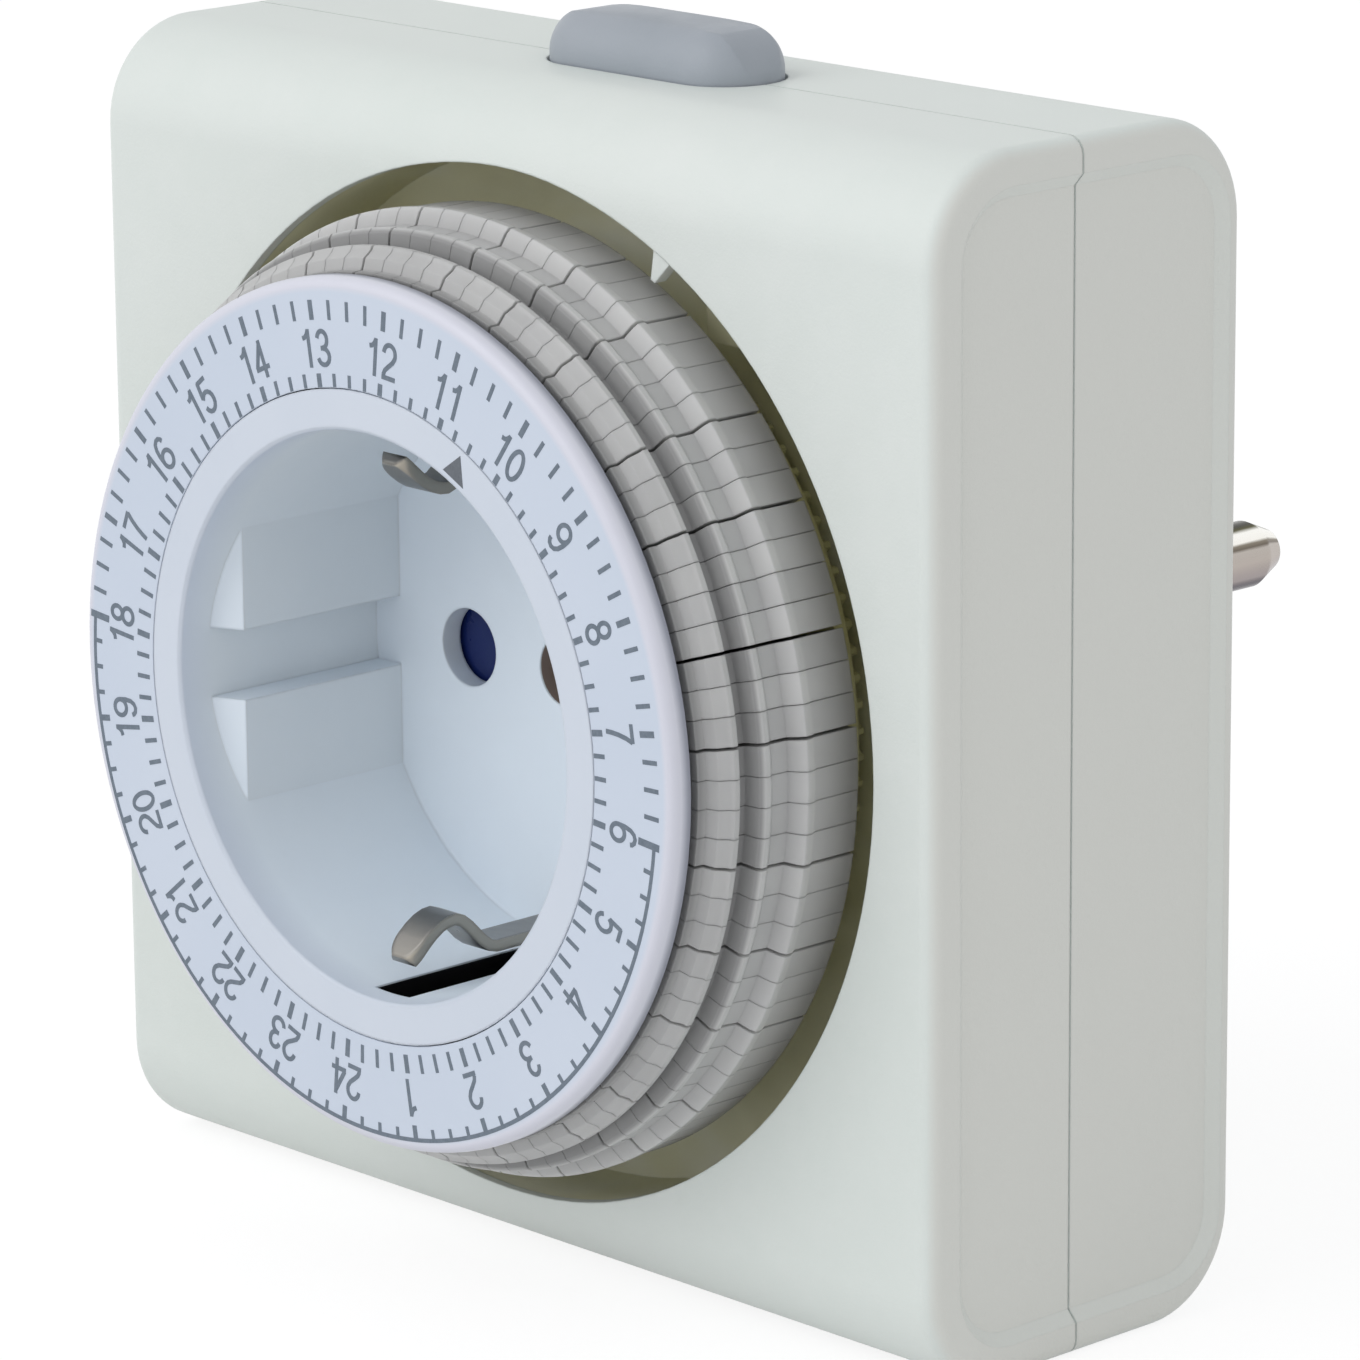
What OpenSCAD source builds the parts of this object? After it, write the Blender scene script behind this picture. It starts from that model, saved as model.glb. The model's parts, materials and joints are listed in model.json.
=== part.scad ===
// Plug-in mechanical timer switch with 96 quarter-hour tabs round a 24-hour dial.
// Millimetres. The origin is the middle of the plug's flat face, where the two pins
// come out. +Y points into the wall socket, +Z is up and +X is to the right as the
// dial is read. Turned parts are drawn as [radius, depth behind the dial's face].

/* [Housing] */
// Width of the housing, left to right
body_w = 80; // [78:0.5:90]
// Height of the housing
body_h = 80; // [78:0.5:90]
// Depth of the housing, without the dial and the plug
body_d = 28.4; // [28:0.2:34]
// Radius of the long rounded corners
corner_r = 7; // [5:0.5:9]
// Small radius round the edges of the two end faces
edge_r = 1.2; // [0.6:0.1:1.4]
// Wall thickness of the housing
wall = 2; // [1.6:0.1:2.4]
// Distance of the joint between the two shells behind the front face
seam_depth = 13.4; // [12:0.1:14]
// Width of the groove that shows along that joint
seam_groove_w = 0.14; // [0.1:0.02:0.4]
// Depth of that groove on the end panels
seam_groove_d = 0.25; // [0.15:0.05:0.6]
// Depth of that groove round the rest
seam_groove_edge = 0.12; // [0.1:0.02:0.4]
// Width of the raised rim of the end faces, at the front
rim_front = 3.4; // [2.5:0.1:4.5]
// Width of that rim at the back
rim_back = 2.1; // [1.5:0.1:4]
// Width of that rim at the top and the bottom
rim_top = 3.1; // [2.5:0.1:4.5]
// Depth of the panel inside the rim
panel_depth = 0.7; // [0.4:0.1:0.9]
// Width of the slope between the rim and the panel
panel_slope = 0.8; // [0.2:0.1:1]
// Inner corner radius of the rim
panel_r = 4; // [2:0.5:5]
// Radius of the round opening for the drum
opening_r = 34.9; // [34.5:0.1:35.3]
// Thickness of the lip round that opening
opening_lip = 0.9; // [0.8:0.1:1]

/* [Socket] */
// Radius of the socket well
well_r = 19; // [18.8:0.1:19.6]
// Depth of the socket well
well_depth = 17.5; // [16.5:0.1:18.5]
// Wall thickness of the well
well_wall = 1.5; // [1.2:0.1:1.8]
// Thickness of the well's floor
floor_t = 1.6; // [1.4:0.1:1.8]
// Outer radius of the fixed ring round the well's mouth
mouth_ring_r = 21.7; // [21.4:0.1:21.9]
// Thickness of that ring
mouth_ring_t = 1.5; // [1.2:0.1:1.8]
// Distance between the two contact holes, and between the two plug pins
pin_pitch = 19; // [18.8:0.1:19.2]
// Radius of a contact hole
contact_hole_r = 2.7; // [2.6:0.05:3]
// Distance of the guide ribs' faces from the middle
rib_face_x = 16.5; // [16:0.1:17.5]
// Height of the slot between two guide ribs
rib_slot_h = 4.8; // [4.2:0.1:6]
// Radius of the hole for the screw in the middle of the well
screw_well_r = 2.4; // [2.2:0.1:2.6]

/* [Dial and drum] */
// Distance of the dial's face in front of the housing
dial_lead = 11.65; // [11:0.05:12.5]
// Outer radius of the dial
dial_r = 29; // [28.6:0.1:29.4]
// Thickness of the dial at its edge
dial_t = 1.5; // [1.2:0.1:1.7]
// Rounding of the dial's outer edge
dial_edge_r = 0.7; // [0.3:0.1:1]
// Angle of the 12 on the dial, clockwise from the top
dial_angle = 5.7; // [0:0.1:15]
// Width of the drum's hub, from the well's outside to the tabs
hub_w = 3.4; // [3:0.1:3.8]
// Radius of the flange behind the tabs
flange_r = 28.4; // [27.8:0.1:28.8]
// Gap between two neighbouring tabs, where both stand straight
tab_gap = 0.1; // [0.1:0.01:0.3]
// How far a tab may lean to either side in its slot
tab_lean = 0.09; // [0:0.01:0.09]
// Running clearance between the dial and the ring round the well's mouth
dial_gap = 0.08; // [0.05:0.01:0.1]
// Travel of a tab when it is pressed
tab_travel = 2.5; // [2:0.1:2.6]
// Radius of the tabs behind the dial
tab_front_r = 29; // [28.8:0.1:29.4]
// Radius of the tabs' front lip
tab_lip_r = 30.5; // [30.3:0.1:30.8]
// Radius of the waist behind the lip
tab_waist_r = 30; // [29.8:0.1:30.1]
// Radius of the step behind the waist
tab_step_r = 31.4; // [31.1:0.1:31.7]
// Radius of the tabs' main ridge
tab_ridge_r = 32.4; // [32:0.1:32.8]
// Radius of the tabs behind the ridge
tab_rear_r = 32.2; // [31.8:0.1:32.6]
// Depth of the tabs' back ends behind the dial's face
tab_back = 13; // [12.6:0.1:13.2]

/* [Gears] */
// Teeth on the drum
drum_teeth = 96; // [96]
// Teeth on the idler's pinion and on the motor's pinion
pinion_teeth = 12; // [12]
// Teeth on the idler's wheel
wheel_teeth = 36; // [36]
// Tooth module of the drum and the idler's pinion
drum_module = 0.55; // [0.54:0.01:0.56]
// Tooth module of the idler's wheel and the motor's pinion
motor_module = 0.4; // [0.38:0.01:0.42]
// Play between two meshing flanks
backlash = 0.12; // [0.1:0.01:0.16]
// Pressure angle of the teeth
pressure_angle = 25; // [25]
// Clock position of the idler, seen from the front
idler_clock = 238.6; // [236:0.1:240]
// Clock position of the motor
motor_at_clock = 220; // [218:0.1:222]

/* [Motor] */
// Radius of the motor's can
motor_r = 10.5; // [9.5:0.1:11]
// Space behind the motor's can
motor_gap = 0.8; // [0.4:0.1:2]

/* [Override button] */
// Width of the button
button_w = 19; // [15:0.1:19.4]
// Depth of the button, front to back
button_d = 7.7; // [7:0.1:8.8]
// Height of the button above the housing
button_h = 3.6; // [3:0.1:4.6]
// Place of the button's middle to the right of the housing's middle
button_x = 2.1; // [1:0.1:3]
// Travel of the button
button_travel = 1.8; // [1.2:0.1:2]

/* [Plug] */
// Length of the plug's round body behind the housing
boss_len = 17.6; // [17.5:0.1:20]
// Radius of the plug's round body
boss_r = 18.3; // [18:0.1:18.6]
// Distance of the flat sides of the plug's body from the middle
boss_flat_x = 16; // [15.6:0.1:16.2]
// Height of the guide tongue on each flat side
boss_tongue_h = 4.2; // [3.8:0.1:4.6]
// Radius of a plug pin
pin_r = 2.4; // [2.35:0.05:2.45]
// Length of a plug pin
pin_len = 19; // [18.5:0.1:19.5]
// Length of the tapered tip of a pin
pin_tip = 2.2; // [1:0.1:2.5]
// Width of the earth straps
earth_w = 2.6; // [2.4:0.1:3.2]
// Thickness of the earth straps
earth_t = 0.8; // [0.6:0.1:0.9]
// Height of the hump of an earth strap's spring clip
clip_hump = 2.6; // [2:0.1:3.2]
// Depth of that hump behind the dial's face
clip_hump_depth = 6.2; // [5.6:0.1:7]
// Depth at which the clip meets the wall of the well
clip_foot_depth = 10; // [9:0.1:11.4]
// Distance of the straight part of the earth straps from the middle
earth_r = 17.2; // [17.1:0.1:17.4]

/* [Fits] */
// Clearance between pieces that slide or turn at a distance
run_gap = 0.3; // [0.2:0.05:0.4]
// Clearance of a shaft in its hole
shaft_gap = 0.05; // [0.03:0.01:0.1]
// Clearance between fixed pieces
fit_gap = 0.2; // [0.1:0.05:0.3]

/* [Hidden] */
$fn = 72;

// Planes along the depth
body_back = -boss_len;
body_front = body_back - body_d;
seam_y = body_front + seam_depth;
dial_y = body_front - dial_lead;
inner_front = body_front + wall;
inner_back = body_back - wall;
function depth_of(y) = y - dial_y;

// Stack of the works, as depths behind the dial's face
well_back = well_depth + floor_t;
flange_front = tab_back + tab_travel + run_gap;
flange_t = 1.1;
flange_back = flange_front + flange_t;
gear_t = 2;
gear_back = flange_back + gear_t;
plate_front = well_back + 0.5;
plate_t = 1.5;
plate_back = plate_front + plate_t;
shutter_front = well_back + run_gap;
shutter_t = 2;
shutter_back = shutter_front + shutter_t;
block_front = shutter_back + run_gap;
block_back = depth_of(inner_back);

// Radii of the works
well_outer_r = well_r + well_wall;
drum_bore_r = well_outer_r + run_gap;
core_r = drum_bore_r + hub_w;
tab_foot_r = core_r + fit_gap;
plate_hole_r = well_r - 0.4;
collar_r = opening_r + 0.15;
collar_t = 1.2;
collar_front = dial_lead + opening_lip;
block_r = 15.5;
screw_seat = 3;
boss_wall = 2;
boss_face_t = 2.5;

// Screw places in the four corners
screw_head_r = 2.4;
screw_inset = wall + 4.4;
screw_x = body_w / 2 - screw_inset;
screw_z = body_h / 2 - screw_inset;
screw_shank_r = 1.4;
screw_head_t = 1.8;
screw_sink = 8;
column_r = 3.6;

// Gear places
drum_pitch_r = drum_teeth * drum_module / 2;
idler_r = (drum_teeth + pinion_teeth) * drum_module / 2;
mesh_r = (wheel_teeth + pinion_teeth) * motor_module / 2;
function clock_dir(a) = [sin(a), cos(a)];
idler_pos = idler_r * clock_dir(idler_clock);
// The motor stands where its pinion meets the wheel, on its own clock position
apart = idler_clock - motor_at_clock;
motor_dist = idler_r * cos(apart) - sqrt(mesh_r * mesh_r - pow(idler_r * sin(apart), 2));
motor_pos = motor_dist * clock_dir(motor_at_clock);
to_motor = motor_pos - idler_pos;
motor_clock = atan2(to_motor[0], to_motor[1]);
arbor_r = 0.8;
idler_hole_r = (pinion_teeth / 2 + 0.8) * drum_module + 0.9;
wheel_front = plate_back + 0.5;
wheel_t = 1.6;
bracket_front = wheel_front + wheel_t + 1;
bracket_t = 1;
motor_front = bracket_front + bracket_t;
motor_l = block_back - motor_front - motor_gap;
post_r = 2;
ear_r = 3;
ear_reach = motor_r + ear_r;
post_places = [for (a = [254.7, 116.7]) motor_pos + ear_reach * clock_dir(a)];
tapped_r = 0.8;

// Switch
plunger_clock = 33;
plunger_pos = (tab_rear_r - 0.7) * clock_dir(plunger_clock);
plunger_w = 3;
guide_half = plunger_w / 2 + fit_gap;
plunger_travel = 0.8;
plunger_front = flange_front + 0.1;
plunger_back = block_back - 8.15;
plunger_tip_h = 1;
chamber_w = 5;
chamber_wall = 1.8;
switch_x0 = plunger_pos[0] - chamber_w / 2 - chamber_wall;
switch_x1 = plunger_pos[0] + chamber_w / 2 + chamber_wall;
switch_z0 = plunger_pos[1] - 7.2;
switch_z1 = plunger_pos[1] + 6.2;
switch_base_t = 1.8;
switch_back = block_back - 1.5;
chamber_front = plunger_back - 2.4;
leaf_t = 0.4;
leaf_w = 4;
foot_x = 0.4;
arm_w = 2.3;
leaf_front = plunger_back + run_gap;
leaf_foot_z = switch_z0 + switch_base_t + 0.2;
leaf_top_z = switch_z1 - 2;
rivet_r = 1.1;
rivet_t = 0.6;
rivet_z = leaf_top_z - 1;
leaf_reach = plunger_pos[1] - leaf_foot_z;
leaf_swing = plunger_travel / leaf_reach * (rivet_z - leaf_foot_z);
fixed_rivet_front = leaf_front + leaf_t + rivet_t + leaf_swing + 0.25;
fixed_front = fixed_rivet_front + rivet_t;
strip_t = 0.8;
strip_w = 4;
strip_x0 = pin_pitch / 2 - strip_w / 2;
strip_x1 = pin_pitch / 2 + strip_w / 2;
link_top = switch_z0 - 2;
busbar_front = block_back - 1.45;
tube_front = block_front + 0.8;
tube_back = block_back - 3.55;
tube_r = 3.3;
bridge_front = plate_back + 3.9;
bridge_w = 3;
tail_start = block_back + wall + 0.8;
tail_end = depth_of(-2);
pin_root_y = -9;
pin_shoulder = 0.3;
clip_front = 2.6;
clip_slot_w = 3.4;
clip_slot_front = 1.8;
clip_slot_back = 14.5;

// Button
button_y = body_front + 13.7;
button_corner_r = button_d / 2 - 0.05;
button_edge_r = 3.1;
button_end_r = 4.2;
button_crown_r = 60;
button_skirt = 3.5;
button_lip = 0.9;
skirt_z = body_h / 2 - button_skirt;
skirt_half = button_w / 2 + button_lip + 0.7;
stem_r = 1.4;
stem_len = 6;
shelf_z = skirt_z - stem_len - button_travel - 0.7;
shelf_t = 1.5;
shelf_half = 5;

HOURS = [for (h = [1 : 24]) h];
function hour_node(h) = str("tabs_h", h < 10 ? "0" : "", h);
FIXED_NODES = ["front_housing", "rear_housing", "chassis_plate", "socket_insert", "socket_screw",
    "time_dial", "drum_carrier", "pin_shutter", "shutter_spring", "terminal_block",
    "line_receptacle", "neutral_receptacle", "earth_strap_top", "earth_strap_bottom",
    "earth_bridge", "line_pin", "neutral_pin", "line_busbar", "neutral_busbar", "switch_block",
    "switch_plunger", "plunger_spring", "contact_leaf", "fixed_contact", "override_button",
    "button_spring", "motor_can", "motor_bracket", "motor_pinion", "idler_wheel",
    "idler_arbor", "housing_screws", "bracket_screws"];

// ---- Helpers ----

// Turns a shape drawn along +Z so that it runs back from the dial's face
module behind_dial(depth = 0) {
    translate([0, dial_y + depth, 0]) rotate([-90, 0, 0]) children();
}

// Puts such a shape at [x, z] as seen from the front
module at_xz(pos) {
    translate([pos[0], -pos[1], 0]) children();
}

// Box between two corners, its depths counted from the dial's face
module block_at(x0, x1, d0, d1, z0, z1) {
    translate([x0, dial_y + d0, z0]) cube([x1 - x0, d1 - d0, z1 - z0]);
}

module rounded_rect(size, r) {
    square([size[0] - 2 * r, size[1]], center = true);
    square([size[0], size[1] - 2 * r], center = true);
    for (sx = [-1, 1], sy = [-1, 1])
        translate([sx * (size[0] / 2 - r), sy * (size[1] / 2 - r)]) circle(r);
}

// Tube of inner radius r0 and outer radius r1 between two depths
module tube(r0, r1, d0, d1) {
    behind_dial(d0) difference() {
        cylinder(r = r1, h = d1 - d0);
        translate([0, 0, -1]) cylinder(r = r0, h = d1 - d0 + 2);
    }
}

// Points of an arc, from angle a0 to angle a1
function arc(c, r, a0, a1, n = 6) =
    [for (i = [0 : n]) c + r * [cos(a0 + (a1 - a0) * i / n), sin(a0 + (a1 - a0) * i / n)]];

// Half the angle of a gear tooth at radius r
function inv_deg(a) = (tan(a) - a * PI / 180) * 180 / PI;
function tooth_half(r, n, m) =
    90 / n - backlash / (2 * n * m) * 180 / PI
    + inv_deg(pressure_angle) - inv_deg(acos(min(1, n * m / 2 * cos(pressure_angle) / r)));

// Outline of a gear with n teeth, one of them centred on the X axis
module gear_outline(n, m) {
    pitch_r = n * m / 2;
    tip_r = pitch_r + 0.8 * m;
    root_r = pitch_r - m;
    base_r = max(root_r, pitch_r * cos(pressure_angle));
    radii = [root_r, base_r, (base_r + tip_r) / 2, tip_r];
    polygon([for (i = [0 : n - 1], s = [-1, 1], k = [0 : 3])
        let (r = radii[s < 0 ? k : 3 - k], a = i * 360 / n + s * tooth_half(max(r, base_r), n, m))
        r * [cos(a), sin(a)]]);
}

// Round wire wound into a helix along +Z, with flat closing rings
module coil(mean_r, wire_r, turns, pitch, steps = 14, sides = 6) {
    n = turns * steps;
    rings = [for (i = [0 : n]) let (a = 360 * i / steps, z = wire_r + pitch * i / steps)
        [for (k = [0 : sides - 1]) let (b = 360 * k / sides, r = mean_r + wire_r * cos(b))
            [r * cos(a), r * sin(a), z + wire_r * sin(b)]]];
    sides_faces = [for (i = [0 : n - 1], k = [0 : sides - 1])
        let (a = i * sides + k, b = i * sides + (k + 1) % sides)
        each [[a, b, b + sides], [a, b + sides, a + sides]]];
    first = [for (k = [sides - 1 : -1 : 0]) k];
    last = [for (k = [0 : sides - 1]) n * sides + k];
    polyhedron([for (ring = rings) each ring], concat(sides_faces, [first, last]), convexity = 8);
}

// ---- Housing ----

// Rounded block along X whose profile in Y and Z has big corners, with small edge radii
module housing_form(inset, fillet) {
    w = body_w - 2 * inset;
    h = body_h - 2 * inset;
    d = body_d - 2 * inset;
    r = corner_r - inset;
    translate([0, body_front + body_d / 2, 0]) {
        rotate([90, 0, 0]) linear_extrude(d - 2 * r, center = true) rounded_rect([w, h], fillet);
        linear_extrude(h - 2 * r, center = true) rounded_rect([w, d], fillet);
        for (sy = [-1, 1], sz = [-1, 1])
            translate([0, sy * (d / 2 - r), sz * (h / 2 - r)]) rotate([0, 90, 0])
                rotate_extrude() intersection() {
                    rounded_rect([2 * r, w], fillet);
                    translate([0, -w]) square([r + 1, 2 * w]);
                }
    }
}

// Rounded rectangle that gets wider by slope over the height
module tray(size, r, height, slope) {
    for (turn = [0, 1]) {
        across = size[turn];
        rotate([90, 0, 90 * turn]) linear_extrude(size[1 - turn] - 2 * r, center = true)
            polygon([[-across / 2, 0], [across / 2, 0],
                [across / 2 + slope, height], [-across / 2 - slope, height]]);
    }
    for (sx = [-1, 1], sy = [-1, 1])
        translate([sx * (size[0] / 2 - r), sy * (size[1] / 2 - r), 0])
            cylinder(r1 = r, r2 = r + slope, h = height);
}

// Recess of both end faces, made deeper by extra
module end_panels(extra = 0) {
    panel_d = body_d - rim_front - rim_back;
    panel_y = body_front + rim_front + panel_d / 2;
    over = 0.2;
    for (side = [-1, 1])
        translate([side * (body_w / 2 - panel_depth - extra), panel_y, 0])
            rotate([0, side * 90, 0])
                tray([body_h - 2 * rim_top, panel_d], panel_r, panel_depth + over,
                    panel_slope * (panel_depth + over) / panel_depth);
}

// Space inside the shells, made smaller all round by inset
module housing_cavity(inset = 0) {
    w = body_w - 2 * (wall + panel_depth + inset);
    t = wall + inset;
    translate([0, body_front + body_d / 2, 0]) rotate([90, 0, 90])
        linear_extrude(w, center = true)
            rounded_rect([body_d - 2 * t, body_h - 2 * t], corner_r - t);
}

// Everything between two planes across the depth
module between(y0, y1) {
    translate([-body_w, y0, -body_h]) cube([2 * body_w, y1 - y0, 2 * body_h]);
}

module button_outline(grow) {
    translate([button_x, button_y]) rounded_rect(
        [button_w + 2 * grow, button_d + 2 * grow], button_corner_r + grow);
}

module button_hole() {
    translate([0, 0, body_h / 2 - wall - 1]) linear_extrude(wall + 2) button_outline(fit_gap);
}

module half_shell(y0, y1) {
    groove0 = y0 == seam_y ? seam_groove_w / 2 : -1;
    groove1 = y1 == seam_y ? seam_groove_w / 2 : -1;
    difference() {
        union() {
            intersection() {
                difference() {
                    housing_form(0, edge_r);
                    end_panels();
                }
                between(y0 + groove0, y1 - groove1);
            }
            intersection() {
                seam_core();
                between(max(y0, seam_y - 1), min(y1, seam_y + 1));
            }
        }
        housing_cavity();
        button_hole();
    }
}

// What is left of the wall at the bottom of the joint's groove
module seam_core() {
    translate([0, seam_y, 0]) difference() {
        rotate([90, 0, 0]) linear_extrude(2, center = true) rounded_rect(
            [body_w - 2 * seam_groove_edge, body_h - 2 * seam_groove_edge], edge_r);
        translate([0, -seam_y, 0]) end_panels(seam_groove_d);
    }
}

module at_screws(y) {
    for (sx = [-1, 1], sz = [-1, 1])
        translate([sx * screw_x, y, sz * screw_z]) rotate([-90, 0, 0]) children();
}

module front_housing() color("#dfe4e0") {
    pillar_l = dial_y + plate_front - inner_front;
    difference() {
        union() {
            half_shell(body_front - 1, seam_y);
            intersection() {
                at_screws(inner_front - 0.5) cylinder(r = column_r, h = pillar_l + 0.5);
                housing_cavity(-0.5);
            }
        }
        behind_dial(depth_of(body_front) - 1) cylinder(r = opening_r, h = wall + 2);
        behind_dial(collar_front) {
            cylinder(r1 = collar_r + fit_gap, r2 = collar_r + collar_t + fit_gap, h = collar_t);
            translate([0, 0, collar_t]) cylinder(r = collar_r + collar_t + fit_gap, h = corner_r);
        }
        at_screws(inner_front) cylinder(r = screw_shank_r + shaft_gap, h = pillar_l + 1);
    }
    marker_tab();
}

// Small pointer on the edge of the opening, in line with the triangle on the mouth ring
module marker_tab() {
    tip_r = tab_ridge_r + 0.5;
    half_w = 0.9;
    root_r = opening_r + 0.1;
    behind_dial(depth_of(body_front) + 0.2) linear_extrude(1) rotate(27 - 90)
        polygon([[tip_r, -0.2], [root_r, -half_w], [root_r, half_w], [tip_r, 0.2]]);
}

module boss_outline(inset) {
    intersection() {
        circle(boss_r - inset);
        union() {
            square([2 * (boss_flat_x - inset), 3 * boss_r], center = true);
            square([3 * boss_r, boss_tongue_h - 2 * inset], center = true);
        }
    }
}

module boss_form(inset, y0, y1) {
    translate([0, y0, 0]) rotate([-90, 0, 0]) linear_extrude(y1 - y0) difference() {
        boss_outline(inset);
        for (s = [-1, 1])
            translate([0, s * (earth_r - earth_t / 2 - run_gap - inset + boss_r)])
                square([earth_w + 2 + 2 * inset, 2 * boss_r], center = true);
    }
}

module rear_housing() color("#dfe4e0") {
    column_l = inner_back - dial_y - plate_back;
    difference() {
        union() {
            half_shell(seam_y, body_back + 1);
            boss_form(0, body_back - 0.5, 0);
            at_screws(dial_y + plate_back) cylinder(r = column_r, h = column_l + 0.5);
        }
        boss_form(boss_wall, inner_back - 1, -boss_face_t);
        at_screws(dial_y + plate_back - 1) cylinder(r = screw_shank_r + fit_gap, h = 40);
        at_screws(body_back - screw_sink) cylinder(r = screw_head_r + fit_gap, h = screw_sink + 1);
        for (s = [-1, 1]) {
            translate([s * pin_pitch / 2, -boss_face_t - 1, 0]) rotate([-90, 0, 0])
                cylinder(r = pin_r + pin_shoulder + shaft_gap, h = boss_face_t + 2);
            translate([0, inner_back - 1 + wall, s * earth_r])
                cube([earth_w + 2 * run_gap, wall + 2, earth_t + 2 * run_gap], center = true);
        }
    }
}

module housing_screws() color("#b9bcc0") {
    tip_y = inner_front + 1;
    head_y = body_back - screw_sink;
    slot_l = 2 * screw_shank_r;
    slot_w = 0.6;
    slot_d = screw_head_t / 2;
    at_screws(tip_y) difference() {
        union() {
            cylinder(r = screw_shank_r, h = head_y - tip_y);
            translate([0, 0, head_y - tip_y]) cylinder(r = screw_head_r, h = screw_head_t);
        }
        for (a = [0, 90])
            rotate(a) translate([-slot_l / 2, -slot_w / 2, head_y - tip_y + screw_head_t - slot_d])
                cube([slot_l, slot_w, screw_head_t]);
    }
}

// ---- Chassis ----

// Collar round the drum, with a tapered front edge that sits behind the lip of the opening
module collar() {
    behind_dial() rotate_extrude() polygon([
        [collar_r, collar_front], [collar_r + collar_t, collar_front + collar_t],
        [collar_r + collar_t, plate_front + 0.5], [collar_r, plate_front + 0.5]]);
}

module chassis_plate() color("#5d5f4c") {
    difference() {
        union() {
            intersection() {
                housing_cavity(fit_gap);
                union() {
                    behind_dial(plate_front) linear_extrude(plate_t)
                        square([body_w, body_h], center = true);
                    block_at(button_x - shelf_half, button_x + shelf_half, plate_back - 0.5,
                        depth_of(button_y) + shelf_half - 0.5, shelf_z - shelf_t, shelf_z);
                }
            }
            collar();
        }
        behind_dial(plate_front - 1) {
            cylinder(r = plate_hole_r, h = plate_t + 2);
            at_xz(idler_pos) cylinder(r = idler_hole_r, h = plate_t + 2);
        }
        at_screws(dial_y + plate_front - 1) cylinder(r = screw_shank_r + fit_gap, h = plate_t + 2);
        block_at(plunger_pos[0] - guide_half, plunger_pos[0] + guide_half, plate_front - 1,
            plate_back + 1, plunger_pos[1] - guide_half, plunger_pos[1] + guide_half);
        block_at(button_x - skirt_half, button_x + skirt_half, plate_front - 1, plate_back + 1,
            skirt_z - button_travel - 0.5, body_h);
        behind_dial(plate_front - 1) for (p = post_places)
            at_xz(p) cylinder(r = tapped_r, h = plate_t + 2);
    }
}

// ---- Socket ----

module socket_insert() color("#e6eaf0") {
    mouth = 0.2;
    difference() {
        union() {
            behind_dial() rotate_extrude() polygon([
                [well_r + mouth, 0], [mouth_ring_r, 0], [mouth_ring_r, mouth_ring_t],
                [well_outer_r, mouth_ring_t], [well_outer_r, plate_front], [well_r, plate_front],
                [well_r, well_back], [0, well_back], [0, well_depth], [well_r, well_depth],
                [well_r, mouth]]);
            guide_ribs();
            behind_dial(well_back - 0.5) cylinder(r = 3.4, h = block_front - well_back + 0.5);
        }
        behind_dial(well_depth - 1) {
            for (s = [-1, 1]) translate([s * pin_pitch / 2, 0, 0])
                cylinder(r = contact_hole_r, h = floor_t + 2);
            cylinder(r = screw_well_r, h = screw_seat + 1);
            cylinder(r = 1.4, h = 8);
        }
        for (s = [0, 180]) rotate([0, s, 0]) {
            block_at(-earth_w / 2 - run_gap, earth_w / 2 + run_gap, well_depth - 1, plate_front + 1,
                earth_r - earth_t / 2 - run_gap, earth_r + earth_t / 2 + run_gap);
            block_at(-clip_slot_w / 2, clip_slot_w / 2, clip_slot_front, clip_slot_back,
                well_r - 1, well_outer_r + 1);
        }
    }
}

// Two pairs of ribs on the left and right walls of the well, with sloping front ends
module guide_ribs() {
    rib_top = sqrt(well_r * well_r - rib_face_x * rib_face_x) + 0.3;
    for (side = [0, 180], up = [0, 1]) rotate([0, side, 0])
        intersection() {
            translate([0, dial_y, up > 0 ? rib_slot_h / 2 : -rib_top])
                linear_extrude(rib_top - rib_slot_h / 2) polygon([
                    [rib_face_x, 3.6], [well_r + 0.3, 2.4], [well_r + 0.3, well_depth + 0.5],
                    [rib_face_x, well_depth + 0.5]]);
            behind_dial() cylinder(r = well_r + 0.3, h = well_depth + 1);
        }
}

module socket_screw() color("#a89a88") {
    head_back = well_depth + screw_seat;
    behind_dial() difference() {
        union() {
            translate([0, 0, head_back - 1.6]) cylinder(r = screw_well_r - 0.2, h = 1.6);
            translate([0, 0, head_back - 0.5]) cylinder(r = 1.3, h = 14);
        }
        for (a = [0, 90]) rotate(a) translate([-1.3, -0.3, head_back - 2.6]) cube([2.6, 0.6, 1.8]);
    }
}

// Two-armed shutter that turns behind the floor and covers both contact holes at rest
module pin_shutter() color("#1c2460") {
    arm_r = 3.6;
    behind_dial(shutter_front) linear_extrude(shutter_t) difference() {
        union() {
            circle(5.4);
            square([pin_pitch, 1.4 * arm_r], center = true);
            for (s = [-1, 1]) translate([s * pin_pitch / 2, 0]) circle(arm_r);
        }
        circle(3.4 + run_gap);
    }
}

module shutter_spring() color("#b9bcc0") {
    behind_dial(block_front + 0.1) coil(4.35, 0.2, 3, 0.5);
}

// ---- Dial and drum ----

module time_dial() color("#e8ecf4") {
    hub_t = mouth_ring_t + run_gap;
    edge = arc([dial_r - dial_edge_r, dial_edge_r], dial_edge_r, -90, 0, 4);
    behind_dial() rotate_extrude() polygon(concat(
        [[mouth_ring_r + dial_gap, 0]], edge,
        [[dial_r, dial_t], [core_r, dial_t], [core_r, hub_t], [mouth_ring_r + dial_gap, hub_t]]));
}

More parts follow.
